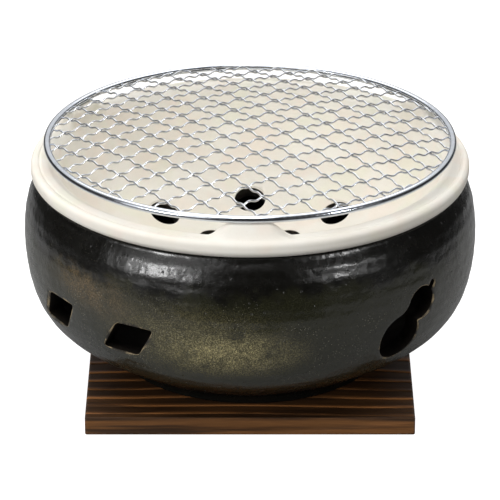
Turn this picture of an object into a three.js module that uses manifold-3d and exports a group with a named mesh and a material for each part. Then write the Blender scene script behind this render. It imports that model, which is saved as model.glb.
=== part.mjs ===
// A table-top charcoal grill: a glazed stoneware pot on a charred-wood board, a perforated fire bowl hung
// in its mouth, and a domed wire net on top. Millimetres, +Z up, front towards -Y, origin under the board.
import * as THREE from "three";
import { mergeVertices } from "three/addons/utils/BufferGeometryUtils.js";
import Module from "manifold-3d";

const wasm = await Module();
wasm.setup();

// ---- Driving dimensions ----

const TOUCH_GAP = 0.3; // air left between two pieces that rest on each other
const ROUND_SEGMENTS = 48; // facets around every turned piece

const board = { side: 174, thickness: 10.6, cornerCut: 2.5, edgeRound: 0.8 };

const pot = {
  wall: 8.5,
  footBottom: board.thickness + TOUCH_GAP,
  footHeight: 3,
  footOuterRadius: 71,
  footInnerRadius: 64,
  recess: 3,
  floorTop: 21.5,
  floorRadius: 60,
  mouthTop: 113.5,
  mouthInnerRadius: 105.7,
  mouthOuterRadius: 114.2,
  lipRound: 1.4,
  // Outside of the belly from above the foot to under the lip, as [radius, height].
  belly: [[71.5, 14.9], [89, 25.5], [105.5, 36.5], [114.5, 48], [119.3, 62],
    [121.3, 80], [120.2, 96], [117.6, 106], [114.2, 112.1]],
};

// Air vents cut through the belly. Azimuth 0 is the front and grows towards +X.
const VENT_PATTERN_TURNS = [0, 180]; // the pattern is cut twice, on opposite sides
const slantVent = {
  width: 22.2,
  height: 17.6,
  lean: 11,
  cornerCut: 1.7,
  centreHeight: 62.2,
  azimuths: [-57.8, -32.4],
};
const gourdVent = {
  lowerRadius: 13,
  upperRadius: 9.5,
  bulbSpacing: 20.8,
  rightWaistRound: 0.8, // a sharp nick on one side, and a shallow waist on the other
  leftWaistRound: 10,
  stemRightEdge: 2.6,
  stemLeftEdge: 1,
  stemHeight: 4.4,
  tilt: 40,
  centreHeight: 66.2,
  azimuth: 44.5,
};

const bowl = {
  thickness: 8,
  sphereRadius: 144, // the bottom is part of a sphere
  bottomTop: 53.7,
  sphereEndRadius: 70,
  side: [[82.5, 80.5], [92, 92.5], [98.7, 107], [102.8, 119.5]],
  neckRadius: 104.9, // slides into the pot's mouth
  neckLength: 6,
  flangeBottom: pot.mouthTop + TOUCH_GAP,
  flangeRadius: 117.3,
  flangeUnderRound: 4.6,
  flangeTopRound: 2.4,
  rimTop: 123.4,
  rimInnerRadius: 103.6,
  rimInnerCut: 1.2,
};

// Rings of draught holes through the bowl's bottom, drilled square to its surface.
const draughtHoles = [
  { count: 1, ringRadius: 0, holeRadius: 8.5, firstAzimuth: 0 },
  { count: 6, ringRadius: 40, holeRadius: 8.5, firstAzimuth: 30 },
  { count: 8, ringRadius: 66.5, holeRadius: 8.5, firstAzimuth: 0 },
];

// Raised supports on the rim: the net or a pan rests on them.
const support = {
  count: 3,
  innerRadius: 104.4,
  outerRadius: 112,
  halfAngle: 8.6,
  top: 130.7,
  buriedDepth: 2,
  edgeRound: 1.6,
};

const net = {
  hoopRadius: 108.15,
  hoopTubeRadius: 2,
  domeRise: 9,
  wireRadius: 0.6,
  pitch: 13.6,
  lengthwiseAngle: -52.1, // from +X, in plan
  crosswiseAngle: 35.5,
  crossing: new THREE.Vector2(9.4, -1.4), // one crossing of the two sets, near the middle
  shortestWire: 30,
  steps: 8,
  sides: 6,
};
net.height = support.top + TOUCH_GAP + net.hoopTubeRadius;
net.layer = net.wireRadius + TOUCH_GAP / 2; // the two sets lie above each other, this far from the middle

// ---- Materials ----

function material(color, roughness, metalness = 0) {
  return new THREE.MeshStandardMaterial({ color, roughness, metalness });
}

const materials = {
  charredWood: material(0x4a2a18, 0.75),
  ironGlaze: material(0x1b1a17, 0.28),
  paleClay: material(0xe9e2d3, 0.85),
  steel: material(0xc4c8cc, 0.25, 1),
};

// ---- Geometry helpers ----

const radians = THREE.MathUtils.degToRad;
const points2 = (pairs) => pairs.map(([x, y]) => new THREE.Vector2(x, y));

function solidFrom(geometry) {
  const bare = geometry.clone();
  bare.deleteAttribute("normal");
  bare.deleteAttribute("uv");
  const merged = mergeVertices(bare, 1e-4);
  return new wasm.Manifold(
    new wasm.Mesh({
      numProp: 3,
      vertProperties: new Float32Array(merged.attributes.position.array),
      triVerts: new Uint32Array(merged.index.array),
    }),
  );
}

function geometryFrom(solid) {
  const mesh = solid.getMesh();
  const geometry = new THREE.BufferGeometry();
  geometry.setAttribute("position", new THREE.BufferAttribute(mesh.vertProperties, 3));
  geometry.setIndex(new THREE.BufferAttribute(mesh.triVerts, 1));
  geometry.computeVertexNormals();
  return geometry;
}

// Turns a profile of (radius, height) points about the Z axis.
function turned(profile) {
  return new THREE.LatheGeometry(profile, ROUND_SEGMENTS).rotateX(Math.PI / 2);
}

// Moves each point of a curve sideways, to the left of the direction that the curve runs in.
function offsetLeft(points, distance) {
  return points.map((point, i) => {
    const before = points[Math.max(i - 1, 0)];
    const after = points[Math.min(i + 1, points.length - 1)];
    const along = after.clone().sub(before).normalize();
    return new THREE.Vector2(point.x - distance * along.y, point.y + distance * along.x);
  });
}

// A closed outline through the corners, each rounded off by the same distance.
function roundedOutline(corners, cut) {
  const shape = new THREE.Shape();
  corners.forEach((corner, i) => {
    const before = corners[(i + corners.length - 1) % corners.length];
    const after = corners[(i + 1) % corners.length];
    const start = before.clone().sub(corner).setLength(cut).add(corner);
    const end = after.clone().sub(corner).setLength(cut).add(corner);
    if (i === 0) shape.moveTo(start.x, start.y);
    else shape.lineTo(start.x, start.y);
    shape.quadraticCurveTo(corner.x, corner.y, end.x, end.y);
  });
  shape.closePath();
  return shape;
}

// ---- Board ----

function boardGeometry() {
  const half = board.side / 2 - board.edgeRound;
  const corners = points2([[-half, -half], [half, -half], [half, half], [-half, half]]);
  const outline = roundedOutline(corners, board.cornerCut);
  return new THREE.ExtrudeGeometry(outline, {
    depth: board.thickness - 2 * board.edgeRound,
    bevelThickness: board.edgeRound,
    bevelSize: board.edgeRound,
    bevelSegments: 2,
    curveSegments: 3,
  }).translate(0, 0, board.edgeRound);
}

// ---- Pot ----

function potProfile() {
  const outside = new THREE.SplineCurve(points2(pot.belly)).getPoints(14);
  const inside = offsetLeft(outside, pot.wall)
    .filter((point) => point.y < pot.mouthTop - pot.wall && point.y > pot.floorTop)
    .reverse();
  return [
    ...points2([
      [0, pot.footBottom + pot.recess],
      [pot.footInnerRadius, pot.footBottom + pot.recess],
      [pot.footInnerRadius, pot.footBottom],
      [pot.footOuterRadius, pot.footBottom],
      [pot.footOuterRadius, pot.footBottom + pot.footHeight],
    ]),
    ...outside,
    ...points2([
      [pot.mouthOuterRadius - pot.lipRound, pot.mouthTop],
      [pot.mouthInnerRadius + pot.lipRound, pot.mouthTop],
      [pot.mouthInnerRadius, pot.mouthTop - pot.lipRound],
      [pot.mouthInnerRadius, pot.mouthTop - pot.wall / 2],
    ]),
    ...inside,
    new THREE.Vector2(pot.floorRadius, pot.floorTop),
    new THREE.Vector2(0, pot.floorTop),
  ];
}

function slantOutline() {
  const { width, height, lean, cornerCut } = slantVent;
  const corner = (x, y) => new THREE.Vector2((x * width + y * lean) / 2, (y * height) / 2);
  return roundedOutline([corner(-1, -1), corner(1, -1), corner(1, 1), corner(-1, 1)], cornerCut);
}

// One side of the gourd, from the bottom to the top of its stem: two bulbs joined by a hollow waist.
function gourdSide(waistRound, stemEdge) {
  const { lowerRadius, upperRadius, bulbSpacing, stemHeight } = gourdVent;
  const toLower = lowerRadius + waistRound;
  const toUpper = upperRadius + waistRound;
  const lowerY = -bulbSpacing / 2;
  const upperY = bulbSpacing / 2;
  const along = (toLower ** 2 - toUpper ** 2 + bulbSpacing ** 2) / (2 * bulbSpacing);
  const waist = new THREE.Vector2(Math.sqrt(toLower ** 2 - along ** 2), lowerY + along);
  const lowerTouch = Math.atan2(waist.y - lowerY, waist.x);
  const upperTouch = Math.atan2(waist.y - upperY, waist.x);
  const stemTouch = Math.acos(stemEdge / upperRadius);
  const side = new THREE.Path();
  side.absarc(0, lowerY, lowerRadius, -Math.PI / 2, lowerTouch, false);
  side.absarc(waist.x, waist.y, waistRound, lowerTouch + Math.PI, upperTouch + Math.PI, true);
  side.absarc(0, upperY, upperRadius, upperTouch, stemTouch, false);
  side.lineTo(stemEdge, upperY + upperRadius + stemHeight);
  return side.getPoints(6);
}

// The whole gourd, leaning to the right.
function gourdOutline() {
  const rightSide = gourdSide(gourdVent.rightWaistRound, gourdVent.stemRightEdge);
  const leftSide = gourdSide(gourdVent.leftWaistRound, gourdVent.stemLeftEdge)
    .slice(1)
    .reverse()
    .map((point) => new THREE.Vector2(-point.x, point.y));
  const turn = radians(-gourdVent.tilt);
  const middle = new THREE.Vector2();
  return new THREE.Shape([...rightSide, ...leftSide].map((point) => point.rotateAround(middle, turn)));
}

// A bar with the vent's outline, pointing outwards through the pot's wall.
function ventCutter(outline, centreHeight, azimuth) {
  const innerEnd = pot.mouthInnerRadius - 2 * pot.wall;
  const outerEnd = pot.mouthOuterRadius + 2 * pot.wall;
  const depth = outerEnd - innerEnd;
  const bar = new THREE.ExtrudeGeometry(outline, { depth, bevelEnabled: false, curveSegments: 4 })
    .rotateX(Math.PI / 2)
    .translate(0, -innerEnd, centreHeight)
    .rotateZ(radians(azimuth));
  return solidFrom(bar);
}

function potGeometry() {
  let solid = solidFrom(turned(potProfile()));
  for (const turn of VENT_PATTERN_TURNS) {
    for (const azimuth of slantVent.azimuths) {
      solid = solid.subtract(ventCutter(slantOutline(), slantVent.centreHeight, azimuth + turn));
    }
    solid = solid.subtract(ventCutter(gourdOutline(), gourdVent.centreHeight, gourdVent.azimuth + turn));
  }
  return geometryFrom(solid);
}

// ---- Fire bowl ----

function bowlProfile() {
  const { sphereRadius, sphereEndRadius, neckRadius, neckLength } = bowl;
  const { flangeBottom, flangeRadius, rimTop, rimInnerRadius, rimInnerCut } = bowl;
  const sphereCentre = bowl.bottomTop + sphereRadius;
  const hollow = new THREE.Path();
  const bottomAngle = -Math.PI / 2;
  const sphereEnd = bottomAngle + Math.asin(sphereEndRadius / sphereRadius);
  hollow.absarc(0, sphereCentre, sphereRadius, bottomAngle, sphereEnd, false);
  hollow.splineThru(points2(bowl.side));
  const inside = hollow.getPoints(2);
  const outside = offsetLeft(inside, -bowl.thickness).filter((point) => point.x < neckRadius);
  outside[0].x = 0;
  const flange = new THREE.Path();
  flange.moveTo(neckRadius, flangeBottom);
  flange.lineTo(flangeRadius - bowl.flangeUnderRound, flangeBottom);
  flange.quadraticCurveTo(flangeRadius, flangeBottom, flangeRadius, flangeBottom + bowl.flangeUnderRound);
  flange.lineTo(flangeRadius, rimTop - bowl.flangeTopRound);
  flange.quadraticCurveTo(flangeRadius, rimTop, flangeRadius - bowl.flangeTopRound, rimTop);
  flange.lineTo(rimInnerRadius + rimInnerCut, rimTop);
  flange.lineTo(rimInnerRadius, rimTop - rimInnerCut);
  const neckBottom = new THREE.Vector2(neckRadius, flangeBottom - neckLength);
  return [...outside, neckBottom, ...flange.getPoints(2), ...inside.reverse()];
}

function draughtHole({ ringRadius, holeRadius }, azimuth) {
  const tilt = Math.asin(ringRadius / bowl.sphereRadius);
  const hole = new THREE.CylinderGeometry(holeRadius, holeRadius, 5 * bowl.thickness, 16)
    .rotateX(Math.PI / 2)
    .translate(0, 0, -bowl.sphereRadius)
    .rotateX(-tilt)
    .translate(0, 0, bowl.bottomTop + bowl.sphereRadius)
    .rotateZ(radians(azimuth));
  return solidFrom(hole);
}

// A curved block on the rim, with its top edges rounded, whose foot is buried in the rim.
function supportBlock(azimuth) {
  const { innerRadius, outerRadius, halfAngle, top, buriedDepth, edgeRound } = support;
  const foot = bowl.rimTop - buriedDepth;
  const middle = -Math.PI / 2;
  const reach = radians(halfAngle);
  const outline = new THREE.Shape();
  outline.absarc(0, 0, outerRadius - edgeRound, middle - reach, middle + reach, false);
  outline.absarc(0, 0, innerRadius + edgeRound, middle + reach, middle - reach, true);
  const block = new THREE.ExtrudeGeometry(outline, {
    depth: top - foot - edgeRound,
    bevelThickness: edgeRound,
    bevelSize: edgeRound,
    bevelSegments: 3,
    curveSegments: 8,
  })
    .translate(0, 0, foot)
    .rotateZ(radians(azimuth));
  return solidFrom(block);
}

function bowlGeometry() {
  let solid = solidFrom(turned(bowlProfile()));
  for (const ring of draughtHoles) {
    for (let i = 0; i < ring.count; i++) {
      solid = solid.subtract(draughtHole(ring, ring.firstAzimuth + (360 / ring.count) * i));
    }
  }
  for (let i = 0; i < support.count; i++) {
    solid = solid.add(supportBlock((360 / support.count) * i));
  }
  return geometryFrom(solid);
}

// ---- Net ----

function hoopGeometry() {
  const section = new THREE.Path();
  section.absarc(net.hoopRadius, net.height, net.hoopTubeRadius, 0, 2 * Math.PI, false);
  return turned(section.getPoints(5));
}

const domeHeight = (x, y) => net.height + net.domeRise * (1 - (x * x + y * y) / net.hoopRadius ** 2);

// One wire of the net, straight in plan and bent over the dome, or null where it would be too short.
function wireGeometry(start, direction, layer) {
  const toMiddle = start.dot(direction);
  const nearest = start.clone().addScaledVector(direction, -toMiddle);
  const reach = net.hoopRadius - net.hoopTubeRadius - TOUCH_GAP;
  const halfSquared = reach ** 2 - (nearest.length() + net.wireRadius) ** 2;
  if (halfSquared < (net.shortestWire / 2) ** 2) return null;
  const half = Math.sqrt(halfSquared);
  const ends = [-half, half].map((t) => nearest.clone().addScaledVector(direction, t));
  const lift = layer * net.layer;
  const [from, to] = ends.map((end) => new THREE.Vector3(end.x, end.y, domeHeight(end.x, end.y) + lift));
  const crown = domeHeight(nearest.x, nearest.y) + lift;
  const control = new THREE.Vector3(nearest.x, nearest.y, 2 * crown - from.z);
  const section = new THREE.Shape().absarc(0, 0, net.wireRadius, 0, 2 * Math.PI, false);
  return new THREE.ExtrudeGeometry(section, {
    steps: net.steps,
    curveSegments: net.sides / 2,
    extrudePath: new THREE.QuadraticBezierCurve3(from, control, to),
  });
}

function netWires() {
  const directionAt = (angle) => new THREE.Vector2(Math.cos(radians(angle)), Math.sin(radians(angle)));
  const lengthwise = directionAt(net.lengthwiseAngle);
  const crosswise = directionAt(net.crosswiseAngle);
  const sets = [
    { name: "net_wire_lengthwise", direction: lengthwise, spacing: crosswise, layer: 1 },
    { name: "net_wire_crosswise", direction: crosswise, spacing: lengthwise, layer: -1 },
  ];
  const mostEachSide = Math.ceil(net.hoopRadius / net.pitch) + 1;
  return sets.flatMap(({ name, direction, spacing, layer }) => {
    const wires = [];
    for (let i = -mostEachSide; i <= mostEachSide; i++) {
      const start = net.crossing.clone().addScaledVector(spacing, i * net.pitch);
      const geometry = wireGeometry(start, direction, layer);
      const number = String(wires.length + 1).padStart(2, "0");
      if (geometry) wires.push([`${name}_${number}`, geometry, materials.steel]);
    }
    return wires;
  });
}

// ---- The grill ----

const grill = new THREE.Group();
const pieces = [
  ["board", boardGeometry(), materials.charredWood],
  ["outer_pot", potGeometry(), materials.ironGlaze],
  ["fire_bowl", bowlGeometry(), materials.paleClay],
  ["net_hoop", hoopGeometry(), materials.steel],
  ...netWires(),
];
for (const [name, geometry, finish] of pieces) {
  const mesh = new THREE.Mesh(geometry, finish);
  mesh.name = name;
  grill.add(mesh);
}

export default grill;
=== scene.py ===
"""The looks of a table-top charcoal grill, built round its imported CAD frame.

Lengths named here are millimetres, and MM turns them into Blender's metres. The front is -Y and Z is up.
"""

import math

import bmesh
import bpy
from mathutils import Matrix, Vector, noise


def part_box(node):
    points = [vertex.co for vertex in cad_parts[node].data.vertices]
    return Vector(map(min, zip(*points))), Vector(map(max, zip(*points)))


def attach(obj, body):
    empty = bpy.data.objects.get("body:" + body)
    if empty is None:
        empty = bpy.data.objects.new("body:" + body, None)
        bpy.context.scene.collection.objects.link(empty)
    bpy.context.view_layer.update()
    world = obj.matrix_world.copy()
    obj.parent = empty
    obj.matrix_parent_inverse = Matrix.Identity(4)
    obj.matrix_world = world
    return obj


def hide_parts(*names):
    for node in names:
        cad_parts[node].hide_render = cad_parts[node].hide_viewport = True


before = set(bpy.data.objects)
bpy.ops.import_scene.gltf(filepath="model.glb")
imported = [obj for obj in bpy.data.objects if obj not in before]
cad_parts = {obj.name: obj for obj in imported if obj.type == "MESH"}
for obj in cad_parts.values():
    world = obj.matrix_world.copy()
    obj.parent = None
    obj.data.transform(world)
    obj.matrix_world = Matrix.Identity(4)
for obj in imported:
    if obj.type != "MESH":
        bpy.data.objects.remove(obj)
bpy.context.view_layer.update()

MM = 0.001


def frame_box(node):
    """A CAD node's lowest and highest corners, in millimetres."""
    low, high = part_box(node)
    return low / MM, high / MM


# ---- Sizes, from the frame where the frame has them ----

BOARD_LOW, BOARD_HIGH = frame_box("board")
POT_LOW, POT_HIGH = frame_box("outer_pot")
HOOP_LOW, HOOP_HIGH = frame_box("net_hoop")

POT_WALL = 8.5
POT_MOUTH_RADIUS = 105.7
POT_LIP_RADIUS = 114.2
POT_FOOT_RADIUS = 71
POT_FOOT_INNER_RADIUS = 64
POT_FLOOR = 21.5
# Outside of the belly, as (radius, height), the same curve as the CAD's.
POT_BELLY = [(71.5, 14.9), (89, 25.5), (105.5, 36.5), (114.5, 48), (119.3, 62),
             (121.3, 80), (120.2, 96), (117.6, 106), (114.2, 112.1)]

BOWL_THICKNESS = 8
BOWL_SPHERE_RADIUS = 144
BOWL_BOTTOM = 53.7
BOWL_SPHERE_END = 70
BOWL_SIDE = [(82.5, 80.5), (92, 92.5), (98.7, 107), (101.6, 115)]
BOWL_NECK_RADIUS = 104.9
FLANGE_RADIUS = 117.3
RIM_TOP = 123.4
RIM_INNER_RADIUS = 103.4
RIM_EDGE_DROP = 3.0
SUPPORT_TOP = 130.9
# count, ring radius, hole radius and first azimuth of the draught holes in the bowl's bottom
DRAUGHT_RINGS = [(1, 0, 8.5, 0), (6, 40, 8.5, 30), (8, 66.5, 8.5, 0)]

HOOP_TUBE = (HOOP_HIGH.z - HOOP_LOW.z) / 2
HOOP_RADIUS = HOOP_HIGH.x - HOOP_TUBE
HOOP_HEIGHT = (HOOP_HIGH.z + HOOP_LOW.z) / 2
DOME_RISE = 9
WIRE_RADIUS = 0.57
LENGTHWISE_CRIMP = 0.50
CROSSWISE_CRIMP = 0.64
PITCH = 13.6
LENGTHWISE_ANGLE = math.radians(-52.1)
CROSSWISE_ANGLE = math.radians(35.5)
CROSSING = Vector((9.4, -1.4))
WIRES_EACH_WAY = 16


# ---- Mesh helpers ----


def catmull_rom(points, steps):
    """A smooth curve through the points, with this many steps between each two."""
    ends = [points[0], *points, points[-1]]
    curve = []
    for p0, p1, p2, p3 in zip(ends, ends[1:], ends[2:], ends[3:]):
        for step in range(steps):
            t = step / steps
            curve.append(tuple(
                b + 0.5 * t * (c - a + t * (2 * a - 5 * b + 4 * c - d + t * (3 * (b - c) + d - a)))
                for a, b, c, d in zip(p0, p1, p2, p3)
            ))
    return [*curve, tuple(points[-1])]


def offset_left(points, distance):
    """Each point of a curve moved sideways, to the left of the direction that it runs in."""
    moved = []
    for i, (x, y) in enumerate(points):
        before, after = points[max(i - 1, 0)], points[min(i + 1, len(points) - 1)]
        dx, dy = after[0] - before[0], after[1] - before[1]
        length = math.hypot(dx, dy)
        moved.append((x - distance * dy / length, y + distance * dx / length))
    return moved


def rounded(points, radius, steps=4, closed=False):
    """A polyline with each corner replaced by a curve that starts and ends this far from it."""
    result = [] if closed else [points[0]]
    corners = range(len(points)) if closed else range(1, len(points) - 1)
    for i in corners:
        corner = Vector(points[i])
        before, after = Vector(points[i - 1]), Vector(points[(i + 1) % len(points)])
        start = corner + (before - corner).normalized() * min(radius, (before - corner).length * 0.49)
        end = corner + (after - corner).normalized() * min(radius, (after - corner).length * 0.49)
        for step in range(steps + 1):
            t = step / steps
            result.append(tuple((1 - t) ** 2 * start + 2 * t * (1 - t) * corner + t ** 2 * end))
    return result if closed else [*result, points[-1]]


def arc(centre, radius, start, end, steps):
    """Points on a circle, from one angle to another, in radians."""
    angles = [start + (end - start) * i / steps for i in range(steps + 1)]
    return [(centre[0] + radius * math.cos(a), centre[1] + radius * math.sin(a)) for a in angles]


def clamped(value, low, high):
    """The value, held between low and high."""
    return min(max(value, low), high)


def even_azimuths(count):
    """This many angles, evenly round a full turn, in radians."""
    return [2 * math.pi * i / count for i in range(count)]


def scene_object(name, data):
    """A new object with this mesh, camera or light, linked to the scene."""
    thing = bpy.data.objects.new(name, data)
    bpy.context.scene.collection.objects.link(thing)
    return thing


def new_mesh(name, vertices, faces, materials):
    """A mesh from vertices in millimetres."""
    mesh = bpy.data.meshes.new(name)
    mesh.from_pydata([(x * MM, y * MM, z * MM) for x, y, z in vertices], [], faces)
    for material in materials:
        mesh.materials.append(material)
    return mesh


def mesh_object(name, vertices, faces, materials, face_material=None):
    """An object from vertices in millimetres, smooth shaded, with its faces turned outwards."""
    mesh = new_mesh(name, vertices, faces, materials)
    if face_material:
        mesh.polygons.foreach_set("material_index", face_material)
    weld = bmesh.new()
    weld.from_mesh(mesh)
    bmesh.ops.remove_doubles(weld, verts=weld.verts, dist=0.001 * MM)
    bmesh.ops.recalc_face_normals(weld, faces=weld.faces)
    for face in weld.faces:
        face.smooth = True
    weld.to_mesh(mesh)
    weld.free()
    return scene_object(name, mesh)


def revolved(name, azimuths, profile_at, materials, closed=False):
    """A turned piece. profile_at(azimuth) gives its (radius, height) points, azimuth 0 being the front."""
    vertices = []
    for azimuth in azimuths:
        profile = profile_at(azimuth)
        vertices += [(r * math.sin(azimuth), -r * math.cos(azimuth), z) for r, z in profile]
    rows = len(profile)
    around = len(azimuths)
    faces = []
    for i in range(around):
        this, following = i * rows, (i + 1) % around * rows
        for j in range(rows if closed else rows - 1):
            k = (j + 1) % rows
            faces.append((this + j, following + j, following + k, this + k))
    return mesh_object(name, vertices, faces, materials)


def lofted_rings(rings):
    """Vertices and faces of a closed bar through rings of points, with a flat cap on each end."""
    count = len(rings[0])
    vertices = [point for ring in rings for point in ring]
    faces = [tuple(range(count)), tuple(range(len(vertices) - count, len(vertices)))]
    for start in range(0, len(vertices) - count, count):
        for j in range(count):
            k = (j + 1) % count
            faces.append((start + j, start + k, start + count + k, start + count + j))
    return vertices, faces


def edge_flare(edge_round, angles, run_out):
    """How a cutter widens round a softened edge, as (growth, depth under the surface), then runs out."""
    flare = [(edge_round * (1 - math.cos(a)), edge_round * (1 - math.sin(a)))
             for a in map(math.radians, angles)]
    growth, depth = flare[-1]
    return [*flare, (growth + run_out[0], depth - run_out[1])]


def cut(piece, cutters):
    """Takes the cutters out of the piece. The cut faces keep the cutters' materials."""
    for cutter in cutters:
        modifier = piece.modifiers.new("cut", "BOOLEAN")
        modifier.operation = "DIFFERENCE"
        modifier.solver = "MANIFOLD"
        modifier.material_mode = "TRANSFER"
        modifier.object = cutter
    graph = bpy.context.evaluated_depsgraph_get()
    carved = bpy.data.meshes.new_from_object(piece.evaluated_get(graph))
    piece.modifiers.clear()
    piece.data = carved
    for cutter in cutters:
        bpy.data.objects.remove(cutter)


# ---- Materials ----


class Surface:
    """A material with one Principled shader, and short calls for the nodes that feed it.

    The texture space is the object's own, in millimetres, so a noise of scale 0.1 has features of
    about 10 mm.
    """

    def __init__(self, name, **constants):
        self.material = bpy.data.materials.new(name)
        self.material.use_nodes = True
        self.tree = self.material.node_tree
        self.shader = self.tree.nodes["Principled BSDF"]
        for socket, value in constants.items():
            self.shader.inputs[socket.replace("_", " ")].default_value = value
        place = self.node("ShaderNodeTexCoord", {}).outputs["Object"]
        scaled = self.node("ShaderNodeVectorMath", {0: place, "Scale": 1 / MM}, operation="SCALE")
        self.space = scaled.outputs[0]

    def node(self, kind, inputs, **settings):
        """A new node, with each input linked to a socket or set to a constant."""
        made = self.tree.nodes.new(kind)
        for setting, value in settings.items():
            setattr(made, setting, value)
        for socket, value in inputs.items():
            if isinstance(value, bpy.types.NodeSocket):
                self.tree.links.new(value, made.inputs[socket])
            else:
                made.inputs[socket].default_value = value
        return made

    def feed(self, socket, value):
        """Links a value to one of the shader's inputs."""
        self.tree.links.new(value, self.shader.inputs[socket])

    def vector(self, operation, a, b):
        """Two vectors added, subtracted or multiplied part by part."""
        return self.node("ShaderNodeVectorMath", {0: a, 1: b}, operation=operation).outputs[0]

    def stretched(self, x, y, z):
        """The texture space scaled along each axis: a small number draws features out that way."""
        return self.vector("MULTIPLY", self.space, (x, y, z))

    def upward_part(self, vector):
        """The Z part of a vector."""
        return self.node("ShaderNodeSeparateXYZ", {0: vector}).outputs["Z"]

    def noise(self, scale, detail=3.0, roughness=0.5, space=None, distortion=0.0):
        """Smooth noise, mostly between 0.3 and 0.7."""
        inputs = {"Vector": space or self.space, "Scale": scale, "Detail": detail,
                  "Roughness": roughness, "Distortion": distortion}
        return self.node("ShaderNodeTexNoise", inputs).outputs["Fac"]

    def cells(self, scale):
        """The distance to the nearest of many scattered points."""
        inputs = {"Vector": self.space, "Scale": scale, "Randomness": 1.0}
        return self.node("ShaderNodeTexVoronoi", inputs, feature="F1").outputs["Distance"]

    def math(self, operation, a, b=0.0):
        """One step of arithmetic."""
        return self.node("ShaderNodeMath", {0: a, 1: b}, operation=operation).outputs[0]

    def times(self, a, b):
        """The product of two values."""
        return self.math("MULTIPLY", a, b)

    def ramp(self, value, low, high, to_low=0.0, to_high=1.0):
        """value's range low..high mapped smoothly to to_low..to_high, and held beyond it."""
        inputs = {"Value": value, "From Min": low, "From Max": high, "To Min": to_low, "To Max": to_high}
        return self.node("ShaderNodeMapRange", inputs, interpolation_type="SMOOTHSTEP").outputs["Result"]

    def mix(self, share, a, b):
        """The colour a, turning to b as share goes from 0 to 1."""
        made = self.node("ShaderNodeMix", {}, data_type="RGBA")
        for index, value in ((0, share), (6, a), (7, b)):
            if isinstance(value, bpy.types.NodeSocket):
                self.tree.links.new(value, made.inputs[index])
            else:
                made.inputs[index].default_value = value if index == 0 else (*value, 1.0)
        return made.outputs[2]

    def bump(self, height, depth, normal=None):
        """A bump of this depth in millimetres where height goes from 0 to 1."""
        inputs = {"Height": height, "Distance": depth * MM, "Strength": 1.0}
        if normal:
            inputs["Normal"] = normal
        return self.node("ShaderNodeBump", inputs).outputs["Normal"]

    def patch(self, centre, reach, roll=0.0):
        """1 at a place, falling to 0 at the edge of an ellipsoid round it, rolled about the Y axis."""
        away = self.vector("SUBTRACT", self.space, centre)
        away = self.node("ShaderNodeMapping", {"Vector": away, "Rotation": (0, roll, 0)}).outputs[0]
        scaled = self.vector("MULTIPLY", away, tuple(1 / r for r in reach))
        length = self.node("ShaderNodeVectorMath", {0: scaled}, operation="LENGTH").outputs["Value"]
        return self.ramp(length, 0.0, 1.0, 1.0, 0.0)


# The glaze's colours, as linear red, green and blue.
DARK_OLIVE = (0.0075, 0.0075, 0.0025)
OLIVE = (0.016, 0.016, 0.006)
OLIVE_SAND = (0.040, 0.040, 0.022)
TAN_HAZE = (0.062, 0.054, 0.034)
SLATE = (0.023, 0.025, 0.021)
RUST_BROWN = (0.20, 0.135, 0.066)
OLD_GOLD = (0.56, 0.48, 0.225)
# Black on the shoulder: partly the glaze's own colour, partly painted shade under the bowl's rim.
SHOULDER_BLACK_AND_SHADE = (0.0028, 0.0025, 0.0015)
# Painted shade: the lower belly and foot darken where they hang low over the board.
PAINTED_FOOT_SHADE = (0.006, 0.006, 0.005)
CRYSTAL = (0.34, 0.32, 0.25)


def blushed(glaze, body, strength, sand, least, colour):
    """The body with a blush of colour, down to a least share of it where no sand shows."""
    share = glaze.times(strength, glaze.ramp(sand, 0.0, 1.0, least, 1.0))
    return glaze.mix(share, body, colour)


def glaze_body(glaze, sand, drift):
    """The glaze's olive ground, with its hazy, slate, brown and gold blushes."""
    body = glaze.mix(glaze.noise(0.022, 4, 0.6), DARK_OLIVE, OLIVE)
    body = glaze.mix(glaze.times(sand, 0.5), body, OLIVE_SAND)
    haze = glaze.patch((-74, -92, 78), (72, 66, 32))
    haze = glaze.times(haze, glaze.ramp(drift, 0.25, 0.6, 0.3, 1.0))
    body = blushed(glaze, body, haze, sand, 0.3, TAN_HAZE)
    slate = glaze.patch((-84, -84, 54), (60, 60, 30))
    body = glaze.mix(glaze.times(slate, 0.7), body, SLATE)
    brown = glaze.patch((-84, -81, 87), (40, 55, 17), roll=math.radians(-23))
    brown = glaze.times(brown, glaze.ramp(glaze.noise(0.07, 4, 0.7), 0.25, 0.6))
    body = blushed(glaze, body, brown, sand, 0.2, RUST_BROWN)
    gold_core = glaze.patch((-13, -119, 62), (54, 40, 20))
    gold_halo = glaze.times(glaze.patch((-30, -116, 66), (72, 50, 28)), 0.4)
    gold = glaze.math("MAXIMUM", gold_core, gold_halo)
    gold = glaze.times(gold, glaze.ramp(glaze.noise(0.09, 4, 0.7), 0.2, 0.6))
    return blushed(glaze, body, gold, sand, 0.15, OLD_GOLD)


def crystal_share(glaze, shoulder):
    """Where pale crystals show: fine specks in loose areas, with few on the shoulder."""
    speck = glaze.ramp(glaze.cells(0.7), 0.10, 0.22, 1.0, 0.0)
    area = glaze.ramp(glaze.noise(0.05, 3), 0.47, 0.60)
    area = glaze.times(area, glaze.ramp(shoulder, 86, 97, 1.0, 0.2))
    return glaze.times(glaze.times(speck, area), 0.6)


def feed_glaze_relief(glaze, grain):
    """Lumps, orange peel and pits that the clear coat follows, with grain on the glaze below it."""
    lumps = glaze.bump(glaze.noise(0.09, 2, 0.5), 0.7)
    peel = glaze.bump(glaze.noise(0.42, 3, 0.55), 0.14, lumps)
    pits = glaze.bump(glaze.ramp(glaze.cells(0.16), 0.03, 0.12), 0.25, peel)
    glaze.feed("Normal", glaze.bump(grain, 0.09, pits))
    glaze.feed("Coat Normal", pits)


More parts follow.
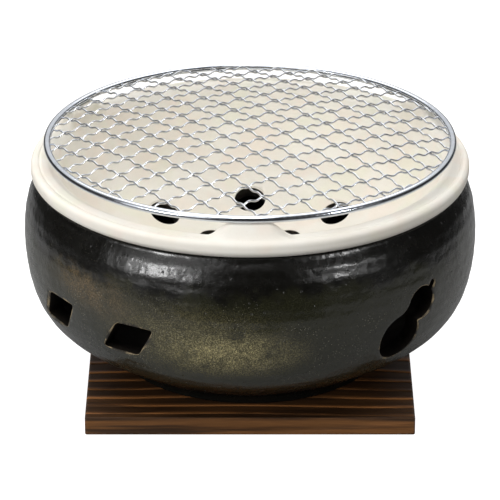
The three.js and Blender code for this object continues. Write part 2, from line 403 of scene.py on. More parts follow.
def iron_glaze():
    """Iron glaze: black on the shoulder, partly painted shade, olive with blushes below it, and dull at the
    foot, darkened there with painted shade.
    """
    glaze = Surface("iron_glaze", IOR=1.5, Coat_Roughness=0.1)
    grain = glaze.noise(1.6, 4, 0.75)
    sand = glaze.ramp(grain, 0.46, 0.62)
    drift = glaze.noise(0.05, 4, 0.65)
    height = glaze.upward_part(glaze.space)
    shoulder = glaze.math("ADD", height, glaze.ramp(drift, 0.2, 0.8, -9.0, 9.0))
    body = glaze_body(glaze, sand, drift)
    # The shoulder turns black, partly glaze colour and partly painted shade under the rim.
    body = glaze.mix(glaze.ramp(shoulder, 88, 99), body, SHOULDER_BLACK_AND_SHADE)
    body = glaze.mix(crystal_share(glaze, shoulder), body, CRYSTAL)
    # Painted shade: the colour darkens towards the foot.
    glaze.feed("Base Color", glaze.mix(glaze.ramp(height, 22, 37), PAINTED_FOOT_SHADE, body))
    glaze.feed("Specular IOR Level", glaze.ramp(height, 25, 38, 0.1, 0.5))
    glaze.feed("Coat Weight", glaze.ramp(height, 25, 38, 0.0, 0.3))
    glaze.feed("Roughness", glaze.ramp(glaze.noise(0.06, 4, 0.6), 0.3, 0.7, 0.20, 0.30))
    feed_glaze_relief(glaze, grain)
    return glaze.material


def worn_glaze_edge():
    """The edge of a cut window, where the glaze thins and some tan clay shows."""
    edge = Surface("worn_glaze_edge")
    thin = edge.ramp(edge.noise(0.12, 4, 0.7), 0.42, 0.66)
    edge.feed("Base Color", edge.mix(thin, (0.020, 0.017, 0.012), (0.40, 0.31, 0.18)))
    edge.feed("Roughness", edge.ramp(thin, 0, 1, 0.35, 0.7))
    edge.feed("Normal", edge.bump(edge.noise(0.9, 3), 0.06))
    return edge.material


def painted_inside_shade():
    """The pot's unglazed inside, near black with painted shade."""
    clay = Surface("painted_inside_shade", Specular_IOR_Level=0.15)
    cloud = clay.noise(0.05, 4, 0.6)
    # Painted shade: the near-black colour stands for the shade inside the pot.
    clay.feed("Base Color", clay.mix(cloud, (0.004, 0.0035, 0.003), (0.014, 0.010, 0.007)))
    clay.feed("Roughness", clay.ramp(cloud, 0.3, 0.7, 0.7, 0.92))
    clay.feed("Normal", clay.bump(clay.noise(0.7, 4, 0.6), 0.15))
    return clay.material


def pale_clay():
    """Matte cream insulating clay, a little mottled, with fine throwing lines and pinholes."""
    clay = Surface("pale_clay", IOR=1.42)
    mottle = clay.ramp(clay.noise(0.03, 5, 0.6), 0.3, 0.7)
    colour = clay.mix(mottle, (0.86, 0.81, 0.72), (0.90, 0.87, 0.80))
    pink = clay.ramp(clay.noise(0.05, 2), 0.48, 0.66, 0.0, 0.5)
    colour = clay.mix(pink, colour, (0.90, 0.79, 0.69))
    yellow = clay.ramp(clay.noise(0.041, 2, distortion=0.4), 0.50, 0.68, 0.0, 0.5)
    colour = clay.mix(yellow, colour, (0.84, 0.83, 0.68))
    fleck = clay.ramp(clay.cells(0.22), 0.035, 0.075, 0.2, 0.0)
    clay.feed("Base Color", clay.mix(fleck, colour, (0.6, 0.5, 0.38)))
    clay.feed("Roughness", clay.ramp(mottle, 0, 1, 0.78, 0.9))
    turned = clay.bump(clay.noise(1.0, 2, 0.5, clay.stretched(0.02, 0.02, 0.8)), 0.05)
    rough = clay.bump(clay.noise(0.8, 4, 0.6), 0.06, turned)
    clay.feed("Normal", clay.bump(clay.ramp(clay.cells(0.35), 0.02, 0.1), 0.08, rough))
    return clay.material


def painted_hole_shade():
    """The walls of the draught holes, darkened with painted shade."""
    clay = Surface("painted_hole_shade")
    cloud = clay.noise(0.25, 4, 0.6)
    # Painted shade: the near-black colour stands for the shade inside the draught holes.
    colour = clay.mix(clay.ramp(cloud, 0.35, 0.7), (0.012, 0.010, 0.008), (0.05, 0.04, 0.03))
    clay.feed("Base Color", colour)
    clay.feed("Roughness", clay.ramp(cloud, 0.3, 0.7, 0.85, 0.97))
    clay.feed("Normal", clay.bump(clay.noise(0.9, 3), 0.08))
    return clay.material


def bright_steel(name, roughness, shade):
    """Plated steel wire with faint drawing marks."""
    steel = Surface(name, Metallic=1.0)
    cloud = steel.noise(0.15, 3)
    steel.feed("Base Color", steel.mix(cloud, [0.75 * part for part in shade], shade))
    steel.feed("Roughness", steel.ramp(steel.noise(0.6, 3), 0.3, 0.7, roughness, roughness + 0.12))
    steel.feed("Normal", steel.bump(steel.noise(1.6, 2), 0.01))
    return steel.material


def flat_grain_colour(wood, line, along, fibre):
    """The wood's top and bottom: dark soft bands, with warm ring lines where the char is brushed off,
    lightened also as a painted highlight on the raised lines.
    """
    soft = wood.mix(wood.ramp(fibre, 0.3, 0.7), (0.017, 0.008, 0.003), (0.060, 0.026, 0.009))
    colour = wood.mix(wood.ramp(along, 0.45, 0.75, 0.0, 0.55), soft, (0.13, 0.055, 0.017))
    # The warm lines are brushed wood colour and partly a painted highlight of the raised ring lines.
    warm = wood.times(line, wood.ramp(along, 0.38, 0.62, 0.12, 1.0))
    warm = wood.times(warm, wood.ramp(fibre, 0.25, 0.6, 0.55, 1.0))
    return wood.mix(warm, colour, (0.42, 0.17, 0.052))


def side_grain_colour(wood, fibre):
    """The wood's edges: long paler streaks under dark fibres."""
    streak = wood.noise(1.0, 3, 0.6, wood.stretched(0.008, 0.02, 0.22))
    pale = wood.mix(wood.ramp(streak, 0.36, 0.60), (0.035, 0.017, 0.007), (0.25, 0.105, 0.031))
    return wood.mix(wood.ramp(fibre, 0.3, 0.7, 0.35, 0.0), pale, (0.05, 0.022, 0.008))


def charred_wood():
    """Scorched and brushed cedar, in dark soft bands between thin, raised, lighter ring lines.

    The mesh's ring attribute counts the growth rings, so colour and relief run along the same lines.
    """
    wood = Surface("charred_wood", Specular_IOR_Level=0.3)
    rings = wood.node("ShaderNodeAttribute", {}, attribute_name="ring").outputs["Fac"]
    part = wood.math("FRACT", rings)
    line = wood.times(wood.ramp(part, 0.50, 0.84), wood.ramp(part, 0.86, 0.97, 1.0, 0.0))
    along = wood.noise(1.0, 4, 0.6, wood.stretched(0.012, 0.10, 0.3))
    fibre = wood.noise(1.0, 4, 0.7, wood.stretched(0.06, 2.2, 2.2))
    upwards = wood.upward_part(wood.node("ShaderNodeTexCoord", {}).outputs["Normal"])
    side = wood.times(wood.ramp(upwards, 0.2, 0.7, 1.0, 0.0), 0.8)
    flat_colour = flat_grain_colour(wood, line, along, fibre)
    wood.feed("Base Color", wood.mix(side, flat_colour, side_grain_colour(wood, fibre)))
    wood.feed("Roughness", wood.ramp(fibre, 0.3, 0.7, 0.42, 0.62))
    wood.feed("Normal", wood.bump(fibre, 0.10, wood.bump(line, 0.16)))
    return wood.material


def white_floor():
    """A pale grey floor, for lights and reflections, that the camera sees as pure white."""
    floor = Surface("white_floor", Base_Color=(0.32, 0.32, 0.32, 1), Roughness=0.9)
    floor.shader.inputs["Emission Color"].default_value = (1, 1, 1, 1)
    floor.feed("Emission Strength", floor.node("ShaderNodeLightPath", {}).outputs["Is Camera Ray"])
    return floor.material


# ---- Outer pot ----

POT_STEPS = 420
POT_FOOT_HOLLOW = 3
WINDOW_TURNS = (0, 180)
SLANT_AZIMUTHS = (-57.8, -32.4)
SLANT_WIDTH = 22.2
SLANT_HEIGHT = 17.6
SLANT_LEAN = 11
SLANT_MIDDLE = 62.2
GOURD_AZIMUTH = 44.5
GOURD_MIDDLE = 66.2
GOURD_TILT = math.radians(40)
GOURD_BULBS = (13, 9.5)
GOURD_BULB_SPACING = 20.8
GOURD_STEM_HEIGHT = 4.4
# waist radius and stem edge on the gourd's right and left sides
GOURD_SIDES = ((0.8, 2.6), (10, 1.0))
WINDOW_EDGE_ROUND = 0.5
BELLY_CURVE = catmull_rom(POT_BELLY, 12)


def slant_outline():
    """A window leaning to the right, with softened corners."""
    corners = [((x * SLANT_WIDTH + y * SLANT_LEAN) / 2, y * SLANT_HEIGHT / 2)
               for x, y in ((-1, -1), (1, -1), (1, 1), (-1, 1))]
    return rounded(corners, 2.6, 6, closed=True)


def gourd_side(waist_round, stem_edge):
    """One side of the gourd from the bottom to the top of its stem: two bulbs joined by a hollow waist."""
    lower, upper = GOURD_BULBS
    lower_y, upper_y = -GOURD_BULB_SPACING / 2, GOURD_BULB_SPACING / 2
    to_lower, to_upper = lower + waist_round, upper + waist_round
    along = (to_lower ** 2 - to_upper ** 2 + GOURD_BULB_SPACING ** 2) / (2 * GOURD_BULB_SPACING)
    waist = (math.sqrt(to_lower ** 2 - along ** 2), lower_y + along)
    lower_touch = math.atan2(waist[1] - lower_y, waist[0])
    upper_touch = math.atan2(waist[1] - upper_y, waist[0])
    stem_top = upper_y + upper + GOURD_STEM_HEIGHT
    return [
        *arc((0, lower_y), lower, -math.pi / 2, lower_touch, 26),
        *arc(waist, waist_round, lower_touch + math.pi, upper_touch + math.pi, 8)[1:],
        *arc((0, upper_y), upper, upper_touch, math.acos(stem_edge / upper), 20)[1:],
        (stem_edge, stem_top - 0.9),
        (stem_edge - 0.8, stem_top),
    ]


def gourd_outline():
    """The whole gourd, leaning to the right."""
    right, left = (gourd_side(*side) for side in GOURD_SIDES)
    outline = right + [(-x, y) for x, y in reversed(left[1:])]
    cos, sin = math.cos(GOURD_TILT), math.sin(GOURD_TILT)
    return [(x * cos + y * sin, -x * sin + y * cos) for x, y in outline]


def belly_radius(height):
    """The pot's outside radius at a height, read off the belly curve."""
    for (r0, z0), (r1, z1) in zip(BELLY_CURVE, BELLY_CURVE[1:]):
        if z0 <= height <= z1:
            return r0 + (r1 - r0) * (height - z0) / (z1 - z0)
    return BELLY_CURVE[-1][0]


def window_cutter(outline, middle, azimuth, materials):
    """A bar through the pot's wall, flared where it leaves it, so that the window's edge is rounded."""
    flare = edge_flare(WINDOW_EDGE_ROUND, (0, 20, 40, 58, 74), (0.9, 0.26))
    sin, cos = math.sin(math.radians(azimuth)), math.cos(math.radians(azimuth))

    def ring(grow, depth=None, radial=None):
        """The grown outline, this deep under the belly's surface or this far from the pot's axis."""
        grown = offset_left(outline[-1:] + outline + outline[:1], -grow)[1:-1]
        points = []
        for across, up in grown:
            out = radial or math.sqrt(belly_radius(middle + up) ** 2 - across * across) - depth
            points.append((out * sin + across * cos, -out * cos + across * sin, middle + up))
        return points

    rings = [ring(0, radial=POT_MOUTH_RADIUS - 16)]
    rings += [ring(grow, depth=depth) for grow, depth in flare]
    rings.append(ring(flare[-1][0], radial=POT_LIP_RADIUS + 16))
    vertices, faces = lofted_rings(rings)
    count = len(outline)
    # The window's wall takes the pot's painted inside shade, and its flared edge the worn glaze edge.
    face_material = [0, 0] + [1] * count + [2] * (len(faces) - 2 - count)
    return mesh_object("window_cutter", vertices, faces, materials, face_material)


def pot_profile():
    """The pot's section as (radius, height) points, and which of its rows are the belly's outside."""
    belly = catmull_rom(POT_BELLY, 10)
    hollow = [point for point in offset_left(belly, POT_WALL)
              if POT_FLOOR + 0.5 < point[1] < POT_HIGH.z - POT_WALL]
    foot_bottom, foot_hollow = POT_LOW.z - 0.2, POT_LOW.z + POT_FOOT_HOLLOW
    foot = rounded([
        (0, foot_hollow), (POT_FOOT_INNER_RADIUS, foot_hollow), (POT_FOOT_INNER_RADIUS, foot_bottom),
        (POT_FOOT_RADIUS, foot_bottom), belly[0],
    ], 0.9)
    lip = rounded([
        belly[-1], (POT_LIP_RADIUS - 0.4, POT_HIGH.z), (POT_MOUTH_RADIUS, POT_HIGH.z),
        (POT_MOUTH_RADIUS, POT_HIGH.z - POT_WALL / 2), hollow[-1],
    ], 1.4)
    profile = [*foot[:-1], *belly, *lip[1:-1], *hollow[::-1], (60, POT_FLOOR), (0, POT_FLOOR)]
    return profile, range(len(foot), len(foot) + len(belly) - 3)


def shade_inside_faces(pot):
    """Gives the pot's inner faces its second material, the painted shade of the inside."""
    for face in pot.data.polygons:
        centre, outwards = face.center, face.normal
        within_wall = math.hypot(centre.x, centre.y) < (belly_radius(centre.z / MM) - POT_WALL / 2) * MM
        above_foot = centre.z > POT_LOW.z * MM + 4 * MM
        towards_axis = outwards.x * centre.x + outwards.y * centre.y < 0
        on_floor = centre.z < (POT_FLOOR + 2) * MM
        if within_wall and above_foot and (towards_axis or on_floor):
            face.material_index = 1


def build_pot(glaze, edge, inside):
    """The thrown pot, with its windows cut through the wall."""
    profile, belly_rows = pot_profile()

    def profile_at(azimuth):
        """The thrown wall wanders by a few tenths of a millimetre, with soft throwing ridges."""
        points = []
        for row, (r, z) in enumerate(profile):
            if row in belly_rows:
                place = Vector((r * math.sin(azimuth), -r * math.cos(azimuth), z))
                wander = 0.30 * noise.noise(place / 38) + 0.10 * noise.noise(place / 11)
                r += wander + 0.07 * math.sin(z * 0.95 + 1.5 * math.sin(azimuth))
            points.append((r, z))
        return points

    pot = revolved("pot_body", even_azimuths(POT_STEPS), profile_at, [glaze, inside])
    shade_inside_faces(pot)
    windows = [(slant_outline(), SLANT_MIDDLE, azimuth) for azimuth in SLANT_AZIMUTHS]
    windows.append((gourd_outline(), GOURD_MIDDLE, GOURD_AZIMUTH))
    cut(pot, [window_cutter(outline, middle, azimuth + turn, [glaze, inside, edge])
              for turn in WINDOW_TURNS for outline, middle, azimuth in windows])
    return pot


# ---- Fire bowl ----

BOWL_STEPS = 320
FLANGE_GAP = 0.15
FLANGE_TOP_EDGE = (FLANGE_RADIUS - 1.9, RIM_TOP + 0.1)
RIM_INNER_EDGE = (RIM_INNER_RADIUS, RIM_TOP - RIM_EDGE_DROP)
RIM_POINTS = 60
SUPPORT_AZIMUTHS = (0, 120, 240)
SUPPORT_HALF_WIDTH = 16.2
SUPPORT_SHOULDER = 14.0
SUPPORT_END_STEP = 0.2
DRAUGHT_EDGE_ROUND = 0.35
DRAUGHT_SIDES = 40


def support_share(azimuth):
    """1 along a support, falling smoothly to 0 at its ends."""
    share = 0.0
    for middle in SUPPORT_AZIMUTHS:
        away = abs((math.degrees(azimuth) - middle + 180) % 360 - 180)
        beyond = (math.radians(away) * HOOP_RADIUS - SUPPORT_HALF_WIDTH) / SUPPORT_SHOULDER + 0.5
        t = clamped(1 - beyond, 0, 1)
        share = max(share, t * t * (3 - 2 * t))
    return share


def bowl_azimuths():
    """Even steps, with finer ones at the ends of the supports."""
    steps = {round(360 * i / BOWL_STEPS, 3) for i in range(BOWL_STEPS)}
    reach = math.degrees(SUPPORT_HALF_WIDTH / HOOP_RADIUS)
    for middle in SUPPORT_AZIMUTHS:
        for side in (-1, 1):
            end = middle + side * reach
            steps |= {round((end + SUPPORT_END_STEP * i) % 360, 3) for i in range(-22, 23)}
    return [math.radians(step) for step in sorted(steps)]


def spread(points, count):
    """The polyline resampled to this many points, evenly along its length."""
    lengths = [math.dist(a, b) for a, b in zip(points, points[1:])]
    total = sum(lengths)
    result = []
    for i in range(count):
        target = total * i / (count - 1)
        k = 0
        while k < len(lengths) - 1 and target > lengths[k]:
            target -= lengths[k]
            k += 1
        t = target / lengths[k]
        result.append(tuple(a + (b - a) * t for a, b in zip(points[k], points[k + 1])))
    return result


def bowl_curves():
    """The bowl's inside and outside as (radius, height) points, each from the axis outwards."""
    down = -math.pi / 2
    dish_end = down + math.asin(BOWL_SPHERE_END / BOWL_SPHERE_RADIUS)
    dish = arc((0, BOWL_BOTTOM + BOWL_SPHERE_RADIUS), BOWL_SPHERE_RADIUS, down, dish_end, 26)
    inside = [*dish[:-1], *catmull_rom([dish[-1], *BOWL_SIDE, RIM_INNER_EDGE], 7)]
    outside = [point for point in offset_left(inside, -BOWL_THICKNESS)
               if point[0] < BOWL_NECK_RADIUS - 0.4]
    outside[0] = (0, outside[0][1])
    return inside, outside


def flange_profile():
    """The neck, the flange's underside and its outer face, up to its top edge."""
    bottom = POT_HIGH.z + FLANGE_GAP
    return rounded([
        (BOWL_NECK_RADIUS, bottom - 6), (BOWL_NECK_RADIUS, bottom), (FLANGE_RADIUS - 4.4, bottom),
        (FLANGE_RADIUS, bottom + 3.4), (FLANGE_RADIUS, RIM_TOP - 1.6), FLANGE_TOP_EDGE,
    ], 1.6, 5)


def rim_profiles():
    """The top of the rim from its outer edge inwards: plain, and at a support."""
    plain = [FLANGE_TOP_EDGE, (113.3, RIM_TOP + 0.1), (112.7, RIM_TOP - 0.6), (112.0, RIM_TOP),
             (108, RIM_TOP - 0.1), (105.2, RIM_TOP - 1.0), RIM_INNER_EDGE]
    raised = [FLANGE_TOP_EDGE, (115, RIM_TOP + 0.2), (113.6, RIM_TOP + 1.4), (110.4, SUPPORT_TOP - 1.4),
              (108.6, SUPPORT_TOP), (106, SUPPORT_TOP), (104.4, SUPPORT_TOP - 1.6), RIM_INNER_EDGE]
    return spread(rounded(plain, 0.7, 3), RIM_POINTS), spread(rounded(raised, 1.6, 5), RIM_POINTS)


def draught_cutter(ring_radius, hole_radius, azimuth, materials):
    """A round bar square to the bowl's bottom, flared at the inside so that the hole's edge is soft."""
    tilt = math.asin(ring_radius / BOWL_SPHERE_RADIUS)
    sag = BOWL_SPHERE_RADIUS - math.sqrt(BOWL_SPHERE_RADIUS ** 2 - hole_radius ** 2)
    flare = edge_flare(DRAUGHT_EDGE_ROUND, (0, 25, 50, 74), (0.5, 0.15))
    # stations as (radius, distance from the sphere's centre)
    stations = [(hole_radius, BOWL_SPHERE_RADIUS + 3 * BOWL_THICKNESS)]
    stations += [(hole_radius + grow, BOWL_SPHERE_RADIUS - sag + depth) for grow, depth in flare]
    stations.append((hole_radius + flare[-1][0], BOWL_SPHERE_RADIUS - 12))
    turn = math.radians(azimuth) + math.pi
    sin, cos = math.sin(turn), math.cos(turn)
    rings = []
    for radius, distance in stations:
        points = []
        for angle in even_azimuths(DRAUGHT_SIDES):
            side, ahead = radius * math.cos(angle), radius * math.sin(angle)
            out = distance * math.sin(tilt) + ahead * math.cos(tilt)
            up = -distance * math.cos(tilt) + ahead * math.sin(tilt)
            height = BOWL_BOTTOM + BOWL_SPHERE_RADIUS + up
            points.append((out * sin + side * cos, -out * cos + side * sin, height))
        rings.append(points)
    vertices, faces = lofted_rings(rings)
    # The hole's sides take the bowl's second material, the painted shade of the hole walls.
    face_material = [0, 0] + [1] * DRAUGHT_SIDES + [0] * (len(faces) - 2 - DRAUGHT_SIDES)
    return mesh_object("draught_cutter", vertices, faces, materials, face_material)


def build_bowl(clay, hole_shade_material):
    """The fire bowl, with its rim raised at the supports and its draught holes drilled."""
    inside, outside = bowl_curves()
    flange = flange_profile()
    plain_rim, raised_rim = rim_profiles()

    def profile_at(azimuth):
        """The bowl's section, swaying a little as thrown clay does."""
        share = support_share(azimuth)
        rim = [tuple(a + (b - a) * share for a, b in zip(p, q)) for p, q in zip(plain_rim, raised_rim)]
        points = []
        for r, z in [*outside, *flange[:-1], *rim, *inside[::-1][1:]]:
            place = Vector((r * math.sin(azimuth), -r * math.cos(azimuth), z))
            sway = 0.16 * noise.noise(place / 30) if r > 1 else 0
            points.append((r + sway, z + sway * 0.5))
        return points

    bowl = revolved("fire_bowl_body", bowl_azimuths(), profile_at, [clay, hole_shade_material])
    cut(bowl, [draught_cutter(ring, radius, azimuth + 360 / count * i, [clay, hole_shade_material])
               for count, ring, radius, azimuth in DRAUGHT_RINGS for i in range(count)])
    return bowl


# ---- Net ----

CHANNEL_WALL = 0.45
CHANNEL_SLOT_HALF = 0.3
HOOP_STEPS = 300
WIRE_END_GAP = 0.3
WIRE_STEP = 0.85
WIRE_SIDES = 10
CRIMP_FADE = 5


def build_hoop(steel):
    """A rolled steel channel: a round tube with a slot along its inner side, where the wires go in."""
    outer, inner = HOOP_TUBE, HOOP_TUBE - CHANNEL_WALL
    outer_gap, inner_gap = math.asin(CHANNEL_SLOT_HALF / outer), math.asin(CHANNEL_SLOT_HALF / inner)
    centre = (HOOP_RADIUS, HOOP_HEIGHT)
    outline = [*arc(centre, outer, -math.pi + outer_gap, math.pi - outer_gap, 30),
               *arc(centre, inner, math.pi - inner_gap, -math.pi + inner_gap, 22)]
    azimuths = even_azimuths(HOOP_STEPS)
    return revolved("net_hoop_channel", azimuths, lambda azimuth: outline, [steel], closed=True)


def wire_centres(middle, direction, crossing, crest):
    """Points along a wire's centre, waving over the dome and running straight into the hoop."""
    phase = (middle - crossing).dot(direction)
    half = math.sqrt((HOOP_RADIUS - WIRE_END_GAP) ** 2 - middle.length_squared)
    steps = max(12, round(2 * half / WIRE_STEP))
    centres = []
    for i in range(steps + 1):
        t = -half + 2 * half * i / steps
        place = middle + direction * t
        fade = min(1.0, (half - abs(t)) / CRIMP_FADE)
        dome = DOME_RISE * (1 - place.length_squared / HOOP_RADIUS ** 2)
        wave = crest * math.cos(3 * math.pi * (t + phase) / PITCH) * fade
        centres.append(Vector((place.x, place.y, HOOP_HEIGHT + dome + wave)))
    return centres


def wire_rings(centres, side):
    """Rings of points round a line of centres, where side is level and square to the line."""
    last = len(centres) - 1
    rings = []
    for i, centre in enumerate(centres):
        along = (centres[min(i + 1, last)] - centres[max(i - 1, 0)]).normalized()
        up = along.cross(side).normalized()
        rings.append([tuple(centre + WIRE_RADIUS * (side * math.cos(a) + up * math.sin(a)))
                      for a in even_azimuths(WIRE_SIDES)])
    return rings


def build_wire(node, direction, across, crimp, steel):
    """One crimped wire, with three half waves from each crossing to the next, for the CAD's plain bar."""
    low, high = frame_box(node)
    middle = Vector(((low.x + high.x) / 2, (low.y + high.y) / 2))
    square = Vector((-direction.y, direction.x))
    number = round((middle - CROSSING).dot(square) / (PITCH * across.dot(square)))
    crossing = CROSSING + across * PITCH * number
    centres = wire_centres(middle, direction, crossing, crimp * (-1) ** number)
    vertices, faces = lofted_rings(wire_rings(centres, Vector((square.x, square.y, 0))))
    return mesh_object(node.replace("net_wire", "crimped_wire"), vertices, faces, [steel])


# ---- Board ----

BOARD_EDGE_ROUND = 1.0
# y and z of the middle of the log that the board was sawn from
PITH = (34.0, -58.0)
RING_WIDTH = 8.6
BRUSHED_DEPTH = 0.28


def ring_count(x, y, z):
    """How many growth rings lie between the pith and a place, wandering as they do in timber."""
    place = Vector((x / 160, y / 60, z / 60))
    wander = 5.5 * noise.noise(place) + 1.2 * noise.noise(place * 3.1)
    bow = 3.0 * math.cos(x / 46)
    return (math.hypot(y - PITH[0], z - PITH[1]) + wander + bow) / RING_WIDTH


def brushed_sink(count, height):
    """How deep the brush went between the raised ring lines, and not at all at the underside."""
    part = count % 1
    ridge = clamped((part - 0.62) / 0.22, 0, 1) * clamped((0.97 - part) / 0.11, 0, 1)
    return BRUSHED_DEPTH * (1 - ridge) * clamped((height - 1.2) / 1.2, 0, 1)


def board_section(width, height):
    """The board's outline as (y, z) points: up the front, over the top, down the back and under."""
    half = width / 2
    front = [(-half, height * i / 22) for i in range(22)]
    top = [(-half + width * i / 300, height) for i in range(300)]
    back = [(half, height * (1 - i / 22)) for i in range(22)]
    bottom = [(half - width * i / 40, 0) for i in range(40)]
    return front + top + back + bottom


def board_stations(length):
    """Places along the board as (x, inset), the inset rounding its two ends."""
    edge = BOARD_EDGE_ROUND
    start = [(-length / 2 + edge * (1 - math.cos(a)), edge * (1 - math.sin(a)))
             for a in (math.pi / 2 * i / 5 for i in range(5))]
    middle = [(-length / 2 + edge + (length - 2 * edge) * i / 110, 0) for i in range(111)]
    return start + middle + [(-x, inset) for x, inset in reversed(start)]


def build_board(wood):
    """A square board whose raised ring lines come from a log centred below it."""
    length, width, height = BOARD_HIGH.x - BOARD_LOW.x, BOARD_HIGH.y - BOARD_LOW.y, BOARD_HIGH.z
    half = width / 2

    def softened(y, z, inset):
        """A point of the section, drawn in for the rounded corners and ends."""
        inner_y, inner_z = half - BOARD_EDGE_ROUND, height / 2 - BOARD_EDGE_ROUND
        core_y = clamped(y, -inner_y, inner_y)
        core_z = clamped(z - height / 2, -inner_z, inner_z)
        out_y, out_z = y - core_y, z - height / 2 - core_z
        size = math.hypot(out_y, out_z)
        reach = (BOARD_EDGE_ROUND - inset) / size if size > 1e-6 else 0
        return core_y + out_y * reach, height / 2 + core_z + out_z * reach

    rings, counts = [], []
    for x, inset in board_stations(length):
        ring = []
        for y, z in board_section(width, height):
            soft_y, soft_z = softened(y, z, inset)
            count = ring_count(x, soft_y, soft_z)
            inwards = Vector((-soft_y if abs(y) >= half else 0, height / 2 - soft_z if z >= height else 0))
            if inwards.length:
                inwards.normalize()
            sink = brushed_sink(count, soft_z)
            ring.append((x, soft_y + inwards.x * sink, soft_z + inwards.y * sink))
            counts.append(count)
        rings.append(ring)
    mesh = new_mesh("charred_board", *lofted_rings(rings), [wood])
    mesh.attributes.new("ring", "FLOAT", "POINT").data.foreach_set("value", counts)
    shell = bmesh.new()
    shell.from_mesh(mesh)
    bmesh.ops.recalc_face_normals(shell, faces=shell.faces)
    for face in shell.faces:
        face.smooth = len(face.verts) == 4
    shell.to_mesh(mesh)
    shell.free()
    return scene_object("charred_board", mesh)


# ---- Camera, floor and light ----

CAMERA_DISTANCE = 2055
CAMERA_ELEVATION = math.radians(23.75)
CAMERA_AIM_HEIGHT = 68.4
CAMERA_LENS = 273.6
FLOOR_HALF_WIDTH = 450
FLOOR_FRONT = -270
FLOOR_BACK = 900
FLOOR_DROP = 0.2
ROOM_GLOW = 0.04
CEILING_GLOW = 0.8
LIGHT_AIM_HEIGHT = 0.1
# name, azimuth and elevation in degrees, distance and size in metres, radiance
SOFTBOXES = [
    ("softbox_left", -44.5, 13, 1.2, (0.28, 0.17), 30),
    ("softbox_left_glow", -46, 20, 1.25, (1.1, 0.95), 1.05),
    ("softbox_right", 47, 15.5, 1.2, (0.18, 0.12), 32),
    ("softbox_right_glow", 54, 13, 1.25, (0.7, 0.6), 0.14),
    ("softbox_high_front", -20, 62, 1.3, (0.8, 0.6), 4.4),
    ("softbox_overhead", 180, 62, 1.4, (1.5, 1.1), 1.6),
]


def place_camera():
    """A view from the front, 24 degrees down, through a long lens."""
    camera = bpy.data.cameras.new("camera")
    camera.lens = CAMERA_LENS
    camera.clip_start = 0.05
    view = scene_object("camera", camera)
    back = CAMERA_DISTANCE * math.cos(CAMERA_ELEVATION)
    height = CAMERA_AIM_HEIGHT + CAMERA_DISTANCE * math.sin(CAMERA_ELEVATION)
    view.location = (0, -back * MM, height * MM)
    view.rotation_euler = (math.pi / 2 - CAMERA_ELEVATION, 0, 0)
    bpy.context.scene.camera = view


def place_floor():
    """A pale table top in a dark studio, whose edges show in the glaze where the shoulder turns black."""
    corners = [(-FLOOR_HALF_WIDTH, FLOOR_FRONT, 0), (FLOOR_HALF_WIDTH, FLOOR_FRONT, 0),
               (FLOOR_HALF_WIDTH, FLOOR_BACK, 0), (-FLOOR_HALF_WIDTH, FLOOR_BACK, 0)]
    floor = scene_object("floor", new_mesh("floor", corners, [(0, 1, 2, 3)], [white_floor()]))
    floor.location.z = -FLOOR_DROP * MM


def softbox(name, azimuth, elevation, distance, size, radiance):
    """A rectangular light facing the grill. Azimuth 0 is the front, growing to the right."""
    turn, rise = math.radians(azimuth), math.radians(elevation)
    level = math.cos(rise)
    towards = Vector((math.sin(turn) * level, -math.cos(turn) * level, math.sin(rise)))
    light = bpy.data.lights.new(name, "AREA")
    light.shape = "RECTANGLE"
    light.size, light.size_y = size
    light.energy = radiance * math.pi * size[0] * size[1]
    lamp = scene_object(name, light)
    lamp.location = towards * distance + Vector((0, 0, LIGHT_AIM_HEIGHT))
    lamp.rotation_euler = towards.to_track_quat("Z", "Y").to_euler()


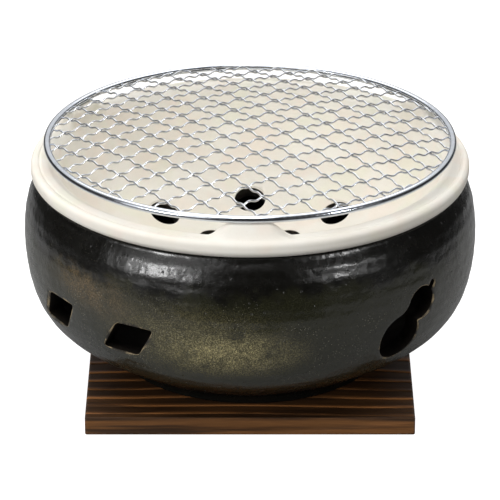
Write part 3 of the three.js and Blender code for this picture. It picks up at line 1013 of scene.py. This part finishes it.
def place_room():
    """A dark studio whose pale ceiling comes lower behind, with a backdrop that the camera sees as white."""
    world = bpy.data.worlds.new("studio")
    world.use_nodes = True
    nodes, links = world.node_tree.nodes, world.node_tree.links
    background = nodes["Background"]
    background.inputs["Color"].default_value = (1, 1, 1, 1)
    height = nodes.new("ShaderNodeVectorMath")
    height.operation = "DOT_PRODUCT"
    height.inputs[1].default_value = (0, 0.6, 1)
    links.new(nodes.new("ShaderNodeTexCoord").outputs["Generated"], height.inputs[0])
    glow = nodes.new("ShaderNodeMapRange")
    glow.interpolation_type = "SMOOTHSTEP"
    limits = {"From Min": 0.62, "From Max": 0.84, "To Min": ROOM_GLOW, "To Max": CEILING_GLOW}
    for socket, value in limits.items():
        glow.inputs[socket].default_value = value
    links.new(height.outputs["Value"], glow.inputs["Value"])
    strength = nodes.new("ShaderNodeMapRange")
    links.new(nodes.new("ShaderNodeLightPath").outputs["Is Camera Ray"], strength.inputs["Value"])
    links.new(glow.outputs["Result"], strength.inputs["To Min"])
    links.new(strength.outputs["Result"], background.inputs["Strength"])
    bpy.context.scene.world = world
    bpy.context.scene.view_settings.view_transform = "Standard"


def place_lights():
    """Every softbox, and the room round them."""
    for box in SOFTBOXES:
        softbox(*box)
    place_room()


# ---- The grill ----


def add_piece(piece, body, slot, *nodes):
    """Hands a piece to the frame: the body it moves with and the nodes it stands for. The slot argument, for
    its material slot, is not used.
    """
    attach(piece, body)
    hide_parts(*nodes)


place_camera()
place_floor()
place_lights()

add_piece(build_board(charred_wood()), "base", "charred_wood", "board")
add_piece(build_pot(iron_glaze(), worn_glaze_edge(), painted_inside_shade()), "pot", "iron_glaze", "outer_pot")
add_piece(build_bowl(pale_clay(), painted_hole_shade()), "bowl", "pale_clay", "fire_bowl")
add_piece(build_hoop(bright_steel("hoop_steel", 0.12, (0.78, 0.82, 0.89))), "net", "steel", "net_hoop")

wire_steel = bright_steel("wire_steel", 0.12, (0.70, 0.72, 0.75))
lengthwise = Vector((math.cos(LENGTHWISE_ANGLE), math.sin(LENGTHWISE_ANGLE)))
crosswise = Vector((math.cos(CROSSWISE_ANGLE), math.sin(CROSSWISE_ANGLE)))
for name, direction, across, crimp in (("lengthwise", lengthwise, crosswise, LENGTHWISE_CRIMP),
                                       ("crosswise", crosswise, lengthwise, -CROSSWISE_CRIMP)):
    for number in range(1, WIRES_EACH_WAY + 1):
        node = f"net_wire_{name}_{number:02d}"
        add_piece(build_wire(node, direction, across, crimp, wire_steel), "net", "steel", node)
